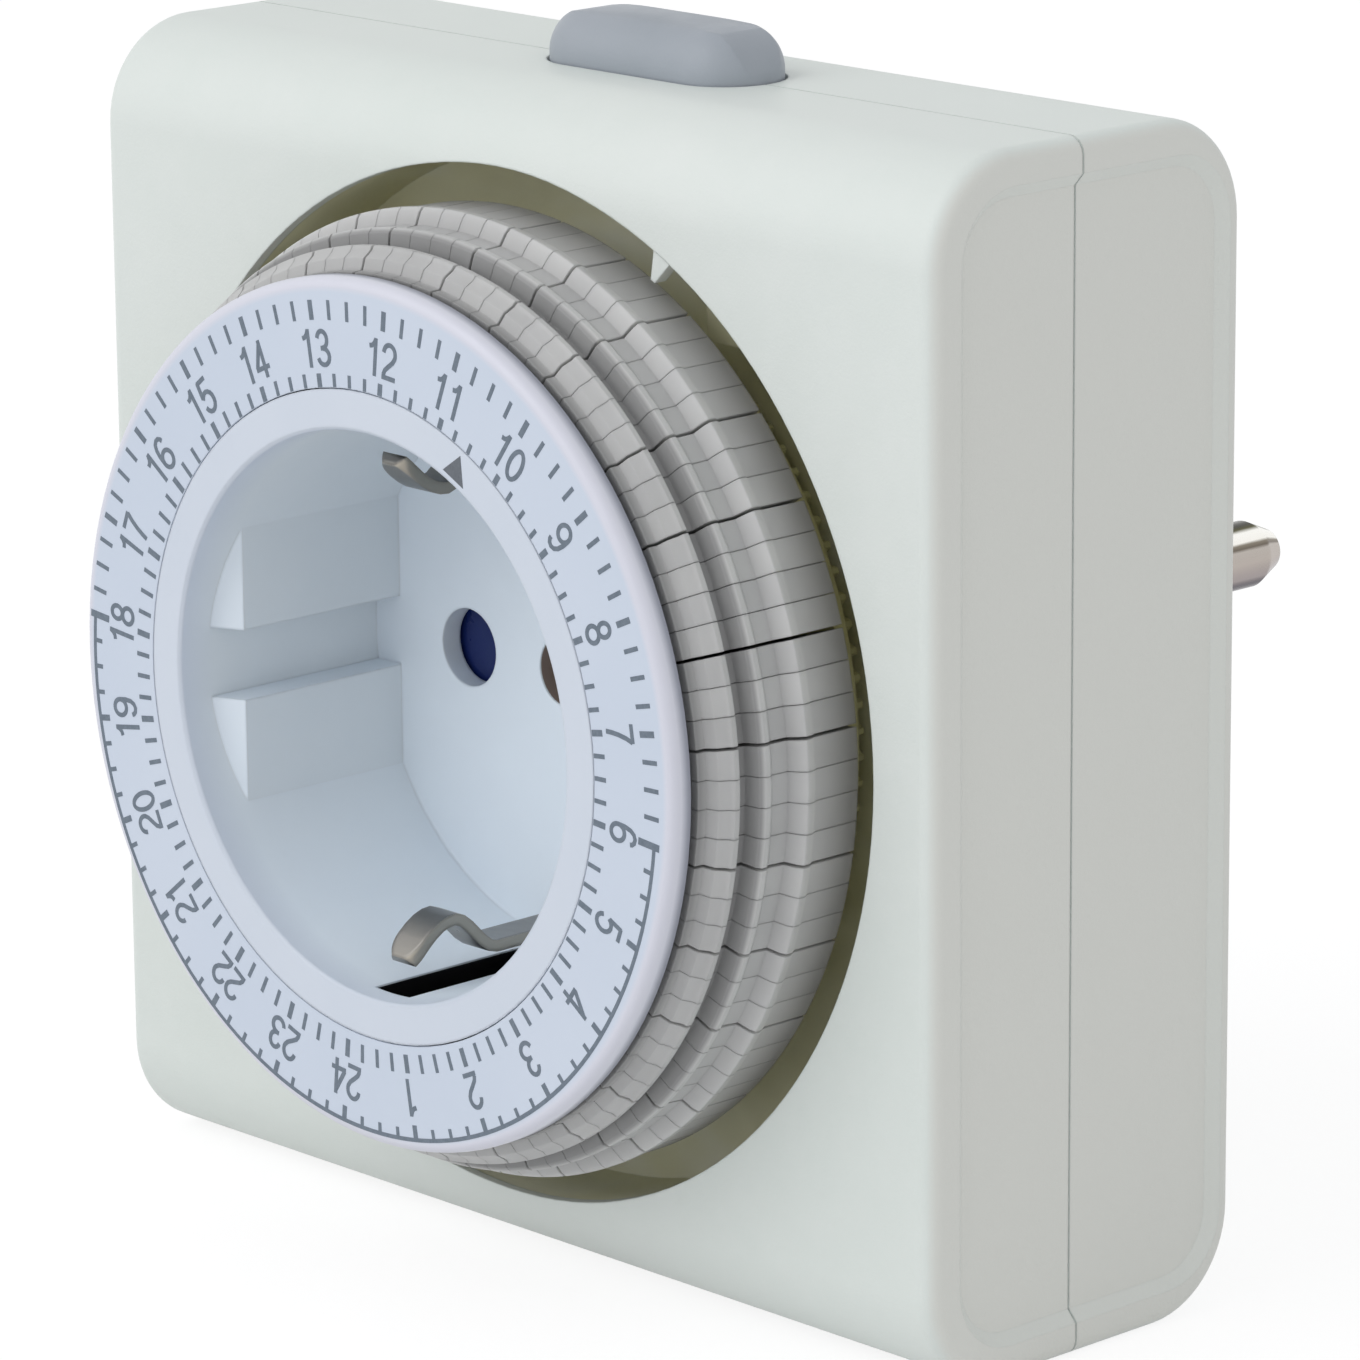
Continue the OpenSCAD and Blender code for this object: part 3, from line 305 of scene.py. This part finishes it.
def drum_material(name):
    """Drum: grey between the tabs, olive with its teeth behind them, and painted near black inside
    at the well as shade.
    """
    s = Surface(name)
    cloud = s.noise(90, detail=4, rough=0.55)
    inner = s.tones(cloud, (16, 16, 12), (26, 26, 20))
    grey = s.tones(cloud, (118, 117, 112), (132, 131, 126))
    olive = s.tones(cloud, (196, 193, 154), (208, 206, 172))
    outer = s.mix(s.behind(*DRUM_TEETH_BEHIND), grey, olive)
    # Painted shade: inside that radius the drum is near black, so the slots into it look as dark
    # as shade.
    s.shader(s.mix(s.rise(s.from_axis(), *DRUM_PAINTED_SHADE_R), inner, outer),
             s.spread(cloud, 0.4, 0.5), s.bump(s.noise(2400), 0.000012, edge=0.00015),
             Specular_IOR_Level=0.3)
    return s.material


def tab_material(name):
    """Translucent grey tabs, each with its own tone and a slight unevenness from moulding, with
    painted shade and painted highlights along them.
    """
    s = Surface(name)
    place = s.split(s.coord)
    clock = s.math("ARCTAN2", place["X"], place["Z"])
    turn = s.math("SUBTRACT", clock, math.radians(DIAL_ANGLE))
    index = s.math("FLOOR", s.math("DIVIDE", turn, math.radians(QUARTER_TURN)))
    pick = s.node("ShaderNodeTexWhiteNoise", {"W": index}, noise_dimensions="1D")
    tone = s.ramp(pick.outputs["Value"], [(0.0, lin(193, 193, 191)), (0.5, lin(199, 199, 197)),
                                          (1.0, lin(205, 205, 202))])
    cloud = s.noise(300, detail=3)
    clean = s.mix(0.35, tone, s.tones(cloud, (194, 194, 191), (206, 206, 204)))
    # Painted shade where shade falls between the ridges, and painted highlights along them, by
    # distance behind the dial.
    painted_light_bands = s.ramp(s.behind(0.0, TAB_REACH),
                   [(behind / TAB_REACH, lin(v, v, v + 2)) for behind, v in TAB_PAINTED_SHADE_AND_HIGHLIGHT])
    s.shader(s.mix(1.0, clean, painted_light_bands, "MULTIPLY"), s.spread(cloud, 0.34, 0.46),
             s.bump(cloud, 0.00003, edge=0.00016), Specular_IOR_Level=0.45,
             Subsurface_Weight=0.3, Subsurface_Scale=0.0012, Subsurface_Radius=(1.0, 0.97, 0.92))
    return s.material


def dial_material(name):
    """Smooth dial, bluer on its face than on its rounded rim, which has a painted shade, darker to
    the back.
    """
    s = Surface(name)
    face = s.tones(s.noise(60, detail=3), (204, 214, 229), (209, 218, 232))
    # Painted shade: the rim darkens to the back, where shade falls between the dial and the tabs.
    rim = s.mix(s.behind(*DIAL_RIM_PAINTED_SHADE), lin(219, 220, 231), lin(152, 155, 168))
    s.shader(s.mix(s.rise(s.from_axis(), *DIAL_RIM_R), face, rim),
             s.spread(s.noise(500, detail=3), 0.34, 0.44),
             s.bump(s.noise(1500), 0.000006, edge=0.00015), Specular_IOR_Level=0.45)
    return s.material


def socket_material(name):
    """Bluish white socket: ring painted greyer than the well and the well paler where it faces
    front or up, as painted light and shade; strap slots painted dark as shade; screw hole brown.
    """
    s = Surface(name)
    slow = s.noise(80, detail=4, rough=0.55)
    # Painted light: faces of the well that turn to the front or up are painted paler.
    painted_light_facing = s.math("MAXIMUM", s.spread(s.facing("Y"), 1.0, 0.0, -0.9, -0.6),
                 s.spread(s.facing("Z"), 0.0, 0.8, 0.3, 0.8))
    ring = s.tones(slow, (209, 217, 229), (214, 221, 232))
    well = s.tones(slow, (219, 226, 231), (225, 231, 235))
    pale = s.tones(slow, (230, 239, 248), (235, 244, 252))
    # Painted light and shade: the directly lit ring at the mouth is painted greyer, and the shaded
    # well behind it paler.
    body = s.mix(s.behind(*WELL_PAINTED_LIGHT_BEHIND), ring, s.mix(painted_light_facing, well, pale))
    place, out = s.split(s.coord), s.from_axis()
    # Painted shade: the strap slots' walls are painted near black.
    slot = s.where(("GREATER_THAN", out, WELL_R + COLOUR_EDGE),
                   ("LESS_THAN", s.math("ABSOLUTE", place["X"]), SLOT_SHADE_HALF + COLOUR_EDGE),
                   ("GREATER_THAN", place["Y"], DIAL_Y + SLOT_SHADE_BEHIND))
    pit = s.where(("LESS_THAN", out, SCREW_WELL_R + COLOUR_EDGE),
                  ("GREATER_THAN", place["Y"], DIAL_Y + WELL_DEPTH + COLOUR_EDGE))
    s.shader(s.mix(pit, s.mix(slot, body, lin(14, 14, 15)), lin(150, 134, 126)),
             s.spread(s.noise(330, detail=3), 0.3, 0.42),
             s.bump(s.noise(3000), 0.000006, edge=0.0003), Specular_IOR_Level=0.45)
    return s.material


def pin_material(name):
    """Plated pins with a painted reflection of the studio, set by which way each face turns: dark
    limbs, a white band over a thin dark one.
    """
    s = Surface(name)
    drawn = s.noise(900, detail=4, rough=0.6, stretch=(1, 0.2, 1))
    wave = s.math("MULTIPLY", s.math("SUBTRACT", drawn, 0.5), 0.06)
    # Painted reflection: the colour follows how far the surface faces up or down.
    up = s.rise(s.math("ADD", s.facing("Z"), wave), -1.0, 1.0)
    base = s.ramp(up, [(0.16, lin(58, 48, 60)), (0.27, lin(158, 149, 148)),
                       (0.50, lin(182, 173, 166)), (0.70, lin(184, 177, 170)),
                       (0.735, lin(112, 104, 94)), (0.775, lin(136, 128, 116)),
                       (0.81, lin(244, 242, 236)), (0.92, lin(248, 247, 242)),
                       (0.955, lin(84, 82, 52)), (0.985, lin(34, 32, 12))])
    s.shader(base, s.spread(drawn, 0.18, 0.3), s.bump(drawn, 0.000006, edge=0.00015),
             Metallic=1.0)
    return s.material


def strap_material(name):
    """Bent nickel-plated strip with a painted reflection by which way it faces: grey on its crown,
    warmer on its flanks; rounded edges.
    """
    s = Surface(name)
    smear = s.noise(420, detail=4, rough=0.6, stretch=(0.4, 1, 1))
    # Painted reflection: the crown, facing up or down, is painted darker grey and the flanks
    # warmer.
    up = s.math("MULTIPLY", s.math("ABSOLUTE", s.facing("Z")), 0.7)
    base = s.ramp(s.math("ADD", up, s.math("MULTIPLY", smear, 0.45)),
                  [(0.15, lin(158, 153, 143)), (0.45, lin(156, 151, 142)),
                   (0.75, lin(146, 143, 138)), (1.0, lin(132, 131, 130))])
    s.shader(base, s.spread(smear, 0.26, 0.4), s.bump(smear, 0.00001, edge=0.00045),
             Metallic=1.0)
    return s.material


MAKERS = {
    "housing_plastic": housing_material,
    "chassis_plastic": chassis_material,
    "socket_plastic": socket_material,
    "dial_plastic": dial_material,
    "drum_plastic": drum_material,
    "tab_plastic": tab_material,
    "button_plastic": partial(plastic, dark=(156, 163, 171), light=(164, 170, 178),
                              rough=(0.4, 0.52), grain=4200, depth=0.00002, edge=0.0003),
    "shutter_plastic": partial(plastic, dark=(20, 35, 90), light=(27, 43, 103),
                               rough=(0.25, 0.35), grain=2600),
    "inner_plastic": partial(plastic, dark=(205, 205, 198), light=(214, 213, 206)),
    "switch_plastic": partial(plastic, dark=(44, 44, 44), light=(56, 56, 55)),
    "gear_plastic": partial(plastic, dark=(216, 210, 192), light=(226, 221, 204),
                            rough=(0.35, 0.45)),
    "earth_metal": strap_material,
    "pin_metal": pin_material,
    "contact_brass": partial(metal, dark=(196, 160, 92), light=(216, 182, 114)),
    "screw_metal": partial(metal, dark=(112, 98, 88), light=(140, 126, 114), rough=(0.3, 0.48)),
    "spring_steel": partial(metal, dark=(170, 171, 174), light=(196, 197, 200)),
    "motor_steel": partial(metal, dark=(176, 178, 180), light=(200, 201, 203), rough=(0.25, 0.4)),
}
MATERIALS = {slot: make(slot) for slot, make in MAKERS.items()}


def print_ink(name, dark, light):
    """Pad-printed ink: even, slightly broken in tone."""
    s = Surface(name)
    speck = s.noise(3200, detail=3, rough=0.7)
    s.shader(s.tones(speck, dark, light), s.spread(speck, 0.4, 0.55), Specular_IOR_Level=0.35)
    return s.material


DIAL_INK = print_ink("dial_ink", (100, 112, 125), (119, 130, 142))
MARK_INK = print_ink("mark_ink", (92, 98, 106), (110, 115, 122))


# ---------------------------------------------------------------- the CAD nodes

def shading_group():
    """Joins split points, makes edges over the sharp angle sharp and shades the rest smooth."""
    group = bpy.data.node_groups.new("smooth_by_edge", "GeometryNodeTree")
    for way in ("INPUT", "OUTPUT"):
        group.interface.new_socket("Geometry", in_out=way, socket_type="NodeSocketGeometry")
    t = Nodes(group)
    source = t.node("NodeGroupInput").outputs[0]
    drop = t.node("GeometryNodeRemoveAttribute", {"Geometry": source, "Name": "custom_normal"})
    merge = t.node("GeometryNodeMergeByDistance",
                   {"Geometry": drop.outputs[0], "Distance": JOIN_DISTANCE})
    smooth = t.node("GeometryNodeSetShadeSmooth", {"Geometry": merge.outputs[0]}, domain="FACE")
    angle = t.node("GeometryNodeInputMeshEdgeAngle").outputs["Unsigned Angle"]
    sharp = t.node("GeometryNodeSetShadeSmooth",
                   {"Geometry": smooth.outputs[0], "Shade Smooth": False,
                    "Selection": t.math("GREATER_THAN", angle, SHARP_ANGLE)}, domain="EDGE")
    t.node("NodeGroupOutput", {0: sharp.outputs[0]})
    return group


def dress_nodes():
    """Gives each CAD node its slot's material and smooth shading."""
    shading = shading_group()
    for row in frame["record"]["subparts"]:
        node = frame["nodes"][row["node"]]
        node.data.materials.clear()
        node.data.materials.append(MATERIALS[row["material_slot"]])
        node.modifiers.new("smooth", "NODES").node_group = shading
        node.modifiers.new("weighted", "WEIGHTED_NORMAL").keep_sharp = True


# ---------------------------------------------------------------- printing on the dial

def on_dial(angle, radius, side, height=0.0):
    """A point at a clock angle and radius, moved sideways along the turn, on the dial's face."""
    a = math.radians(angle)
    return Vector((radius * math.sin(a) + side * math.cos(a), DIAL_Y - height,
                   radius * math.cos(a) - side * math.sin(a)))


def on_print(angle, radius, side, height=0.0):
    """The same on the print, which sits a little off centre and stays on the flat face."""
    p = on_dial(angle, radius, side, height)
    p.x += PRINT_SHIFT[0]
    p.z += PRINT_SHIFT[1]
    r = math.hypot(p.x, p.z)
    kept = min(max(r, FACE_FROM), FACE_TO)
    p.x *= kept / r
    p.z *= kept / r
    return p


def slab(verts, faces, outline, place=on_print, height=PRINT_RAISE):
    """Adds a thin raised shape with that outline, given as (angle, radius, side) points."""
    start = len(verts)
    n = len(outline)
    for level in (height, -PRINT_SINK):
        verts.extend(place(*p, level) for p in outline)
    faces.append([start + i for i in range(n)])
    faces.append([start + n + i for i in reversed(range(n))])
    for i in range(n):
        j = (i + 1) % n
        faces.append([start + j, start + i, start + n + i, start + n + j])


def strip(verts, faces, left, right, closed=False, height=PRINT_RAISE):
    """Adds a thin raised ribbon between two rows of (angle, radius, side) points."""
    start = len(verts)
    n = len(left)
    for level in (height, -PRINT_SINK):
        for row in (left, right):
            verts.extend(on_print(*p, level) for p in row)
    for i in range(n if closed else n - 1):
        j = (i + 1) % n
        a, b, c, d = start + i, start + j, start + n + j, start + n + i
        faces.append([a, b, c, d])
        faces.append([b, a, a + 2 * n, b + 2 * n])
        faces.append([d, c, c + 2 * n, d + 2 * n])
        faces.append([d + 2 * n, c + 2 * n, b + 2 * n, a + 2 * n])
    if not closed:
        for i in (0, n - 1):
            a, d = start + i, start + n + i
            faces.append([a, d, d + 2 * n, a + 2 * n])


def tick(verts, faces, angle, radii, half, height=PRINT_RAISE):
    """Adds a tick of even width between two radii."""
    inner, outer = radii
    slab(verts, faces, [(angle, inner, -half), (angle, inner, half), (angle, outer, half),
                        (angle, outer, -half)], height=height)


def print_piece(name, verts, faces, ink, body):
    """Makes a printed piece of those faces, which rides on that body."""
    mesh = bpy.data.meshes.new(name)
    mesh.from_pydata([tuple(v) for v in verts], [], faces)
    mesh.validate()
    mesh.materials.append(ink)
    obj = bpy.data.objects.new(name, mesh)
    bpy.context.scene.collection.objects.link(obj)
    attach(obj, body)


def ring_ticks():
    """Outer and inner ticks every quarter of an hour, wider on the hours."""
    verts, faces = [], []
    for i in range(QUARTERS):
        angle = DIAL_ANGLE + i * QUARTER_TURN
        on_hour = i % 4 == 0
        half = HOUR_TICK_HALF if on_hour else QUARTER_TICK_HALF
        outer = DAY_TICKS
        if NIGHT_START < i < NIGHT_END:
            outer = (DAY_TICKS[0] if on_hour else NIGHT_TICK_FROM, ARC_INNER)
        if i not in (NIGHT_START, NIGHT_END):
            tick(verts, faces, angle, outer, half)
        tick(verts, faces, angle, INNER_TICKS, half)
    print_piece("dial_ticks", verts, faces, DIAL_INK, "drum")


def night_arc():
    """Thin arc round the lower half, with a bold tick at either end."""
    verts, faces = [], []
    first, last = (DIAL_ANGLE + i * QUARTER_TURN for i in (NIGHT_START, NIGHT_END))
    turns = [first + (last - first) * i / ARC_STEPS for i in range(ARC_STEPS + 1)]
    strip(verts, faces, [(a, ARC_INNER, 0) for a in turns], [(a, ARC_OUTER, 0) for a in turns])
    for angle in (first, last):
        tick(verts, faces, angle, END_TICKS, END_TICK_HALF, PRINT_RAISE + PRINT_STEP)
    print_piece("dial_arc", verts, faces, DIAL_INK, "drum")


def bow(cx, cy, rx, ry, a0, a1, n=14):
    """Points on an ellipse from one angle to another."""
    return [(cx + rx * math.cos(math.radians(a0 + (a1 - a0) * i / n)),
             cy + ry * math.sin(math.radians(a0 + (a1 - a0) * i / n))) for i in range(n + 1)]


def ring(cx, cy, rx, ry, n=24):
    """Points all round an ellipse."""
    return bow(cx, cy, rx, ry, 0, 360 - 360 / n, n - 1)


def turned(strokes):
    """The same strokes turned upside down."""
    return [(closed, [(-x, 1 - y) for x, y in line]) for closed, line in strokes]


# Each digit's strokes: whether one is closed, and the points it runs through, in cap heights
# from the middle of the digit's foot. DIGIT_HALF is half the width of a round digit.
DIGIT_HALF = 0.2175
SIX = [(True, ring(0, 0.305, DIGIT_HALF, 0.2425)),
       (False, [(-DIGIT_HALF, 0.33), (-0.212, 0.55), (-0.17, 0.76), (-0.09, 0.89), (0.02, 0.9375),
                (0.12, 0.915), (0.185, 0.84), (0.2, 0.77)])]
DIGITS = {
    "0": [(True, ring(0, 0.5, DIGIT_HALF, 0.4375, 30))],
    "1": [(False, [(0.06, 0), (0.06, 1)]),
          (False, [(0.05, 0.95), (0.0, 0.85), (-0.07, 0.785), (-0.17, 0.76)])],
    "2": [(False, bow(0, 0.70, DIGIT_HALF, 0.2375, 178, -20) + [(0.13, 0.5), (-0.02, 0.37),
                                                          (-0.15, 0.25), (-0.205, 0.12)]),
          (False, [(-0.26, 0.0625), (0.245, 0.0625)])],
    "3": [(False, bow(0, 0.72, 0.19, 0.2175, 170, -90)),
          (False, bow(0, 0.275, DIGIT_HALF, 0.2125, 90, -170)),
          (False, [(-0.08, 0.495), (0.02, 0.495)])],
    "4": [(False, [(0.09, 0), (0.09, 1)]), (False, [(0.1, 0.93), (-0.225, 0.30)]),
          (False, [(-0.27, 0.27), (0.28, 0.27)])],
    "5": [(False, [(-0.17, 0.9375), (0.21, 0.9375)]), (False, [(-0.14, 0.96), (-0.195, 0.5)]),
          (False, bow(-0.005, 0.335, 0.2225, 0.2725, 150, -162))],
    "6": SIX,
    "7": [(False, [(-0.25, 0.9375), (0.245, 0.9375)]),
          (False, [(0.22, 0.92), (0.12, 0.72), (0.03, 0.46), (-0.03, 0.2), (-0.06, 0)])],
    "8": [(True, ring(0, 0.725, 0.18, 0.2125)), (True, ring(0, 0.28, DIGIT_HALF, 0.2175))],
    "9": turned(SIX),
}


def edges_of(line, closed, half):
    """Both edges of a stroke of even width along a line."""
    n = len(line)
    left, right = [], []
    for i, (x, y) in enumerate(line):
        before = line[i - 1] if i or closed else line[i]
        after = line[(i + 1) % n] if i < n - 1 or closed else line[i]
        dx, dy = after[0] - before[0], after[1] - before[1]
        long = math.hypot(dx, dy)
        nx, ny = -dy / long * half, dx / long * half
        left.append((x + nx, y + ny))
        right.append((x - nx, y - ny))
    return left, right


def numerals():
    """The hours 1 to 24 with their tops outward, drawn stroke by stroke."""
    verts, faces = [], []
    for hour in range(1, 25):
        angle = DIAL_ANGLE + (12 - hour) * HOUR_TURN
        text = str(hour)
        level = PRINT_RAISE
        for k, digit in enumerate(text):
            off = (k - (len(text) - 1) / 2) * DIGIT_STEP
            for closed, line in DIGITS[digit]:
                left, right = ([(angle, NUMERAL_R + (y - 0.5) * CAP_HEIGHT,
                                 (x + off) * CAP_HEIGHT) for x, y in row]
                               for row in edges_of(line, closed, STROKE_HALF))
                strip(verts, faces, left, right, closed, level)
                level += PRINT_STEP
    print_piece("dial_numerals", verts, faces, DIAL_INK, "drum")


def mark_on_ring():
    """Dark triangle on the fixed ring that points at the time of day."""
    verts, faces = [], []
    slab(verts, faces, MARK_CORNERS, on_dial)
    print_piece("time_mark", verts, faces, MARK_INK, "housing")


# ---------------------------------------------------------------- stage, light and camera

def white_for_camera(t, plain, white, share=1.0):
    """Mixes in that share of plain white for camera, mirror and glass rays."""
    path = t.node("ShaderNodeLightPath").outputs
    seen = t.math("MAXIMUM", path["Is Camera Ray"],
                  t.math("MAXIMUM", path["Is Glossy Ray"], path["Is Transmission Ray"]))
    return t.node("ShaderNodeMixShader", {0: t.math("MULTIPLY", seen, share),
                                          1: plain, 2: white}).outputs[0]


def lay_floor():
    """Pale floor under the part, which keeps its shadow and runs into the white background."""
    mesh = bpy.data.meshes.new("floor")
    mesh.from_pydata([(x * FLOOR_HALF, y * FLOOR_HALF, FLOOR_Z)
                      for x, y in ((-1, -1), (1, -1), (1, 1), (-1, 1))], [], [(0, 1, 2, 3)])
    floor = bpy.data.objects.new("floor", mesh)
    bpy.context.scene.collection.objects.link(floor)
    s = Surface("floor_white")
    pale = s.ramp(s.noise(3), [(0.3, (0.89, 0.89, 0.89, 1)), (0.7, (0.91, 0.91, 0.91, 1))])
    matt = s.node("ShaderNodeBsdfDiffuse", {"Color": pale}).outputs[0]
    glow = s.node("ShaderNodeEmission", {"Strength": 1.12}).outputs[0]
    s.links.new(white_for_camera(s, matt, glow, 0.75), s.out.inputs["Surface"])
    mesh.materials.append(s.material)


def light_world():
    """Soft light from all round, which the camera sees as plain white."""
    world = bpy.data.worlds.new("studio")
    bpy.context.scene.world = world
    world.use_nodes = True
    t = Nodes(world.node_tree)
    soft = t.node("ShaderNodeBackground", {"Color": (0.97, 0.98, 1.0, 1), "Strength": 0.62})
    white = t.node("ShaderNodeBackground", {"Color": (1, 1, 1, 1), "Strength": 1.0})
    t.node("ShaderNodeOutputWorld",
           {"Surface": white_for_camera(t, soft.outputs[0], white.outputs[0])})


def lamp(name, place, size, share):
    """Square lamp that gives a surface facing it at its aim that share of full white."""
    data = bpy.data.lights.new(name, "AREA")
    data.size = size
    away = Vector(place) - Vector(LAMP_AIM)
    data.energy = share * LAMP_POWER * away.length_squared
    obj = bpy.data.objects.new(name, data)
    bpy.context.scene.collection.objects.link(obj)
    obj.location = place
    obj.rotation_euler = away.to_track_quat("Z", "Y").to_euler()


def camera():
    """Camera at the photograph's viewpoint."""
    azimuth, elevation, roll = (math.radians(angle)
                                for angle in (VIEW_AZIMUTH, VIEW_ELEVATION, VIEW_ROLL))
    back = Vector((math.sin(azimuth) * math.cos(elevation),
                   -math.cos(azimuth) * math.cos(elevation), math.sin(elevation)))
    level = (-back).cross(Vector((0, 0, 1))).normalized()
    upright = level.cross(-back)
    right = level * math.cos(roll) + upright * math.sin(roll)
    up = upright * math.cos(roll) - level * math.sin(roll)
    place = Vector(VIEW_TARGET) + back * VIEW_DISTANCE
    data = bpy.data.cameras.new("camera")
    data.lens = LENS
    data.sensor_width = SENSOR
    data.sensor_fit = "AUTO"
    data.clip_start, data.clip_end = CLIP
    obj = bpy.data.objects.new("camera", data)
    bpy.context.scene.collection.objects.link(obj)
    obj.matrix_world = Matrix(((right.x, up.x, back.x, place.x), (right.y, up.y, back.y, place.y),
                               (right.z, up.z, back.z, place.z), (0, 0, 0, 1)))
    bpy.context.scene.camera = obj


dress_nodes()
ring_ticks()
night_arc()
numerals()
mark_on_ring()
lay_floor()
light_world()
for lamp_name, settings in LAMPS.items():
    lamp(lamp_name, *settings)
camera()
bpy.context.scene.view_settings.view_transform = "Standard"

bpy.context.view_layer.update()
